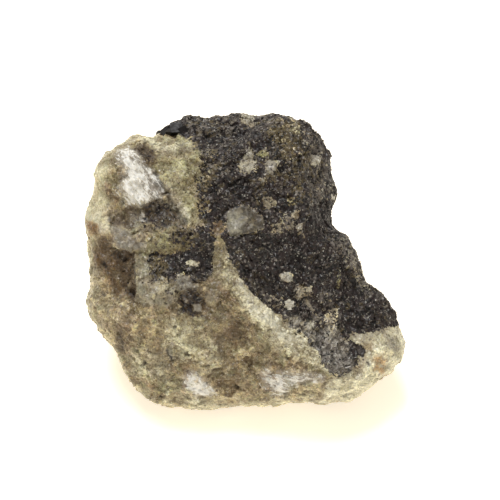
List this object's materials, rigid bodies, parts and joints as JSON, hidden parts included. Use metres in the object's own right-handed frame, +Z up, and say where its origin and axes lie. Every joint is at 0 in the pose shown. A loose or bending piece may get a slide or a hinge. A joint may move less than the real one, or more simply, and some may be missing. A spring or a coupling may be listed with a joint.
{
  "type": "latrappite ore hand specimen",
  "caption": "Broken hand specimen of pale sugary carbonate rock with a body of black latrappite-bearing ore grown through it, lying on its flattest side.",
  "frame": {"origin": "on the table, under the middle of the lump's box", "axes": "+Z up from the resting side, +X along the lump's long side, its broad broken face looking up and forwards to -Y"},
  "size_m": [0.0454, 0.0387, 0.0269],
  "materials": {
    "ore_bearing_carbonatite": "broken, unpolished: sugary beige-green carbonate with black fine-grained ore, white hammer bruises"
  },
  "bodies": {
    "root": {"latrappite_rock": "ore_bearing_carbonatite"}
  },
  "joints": []
}
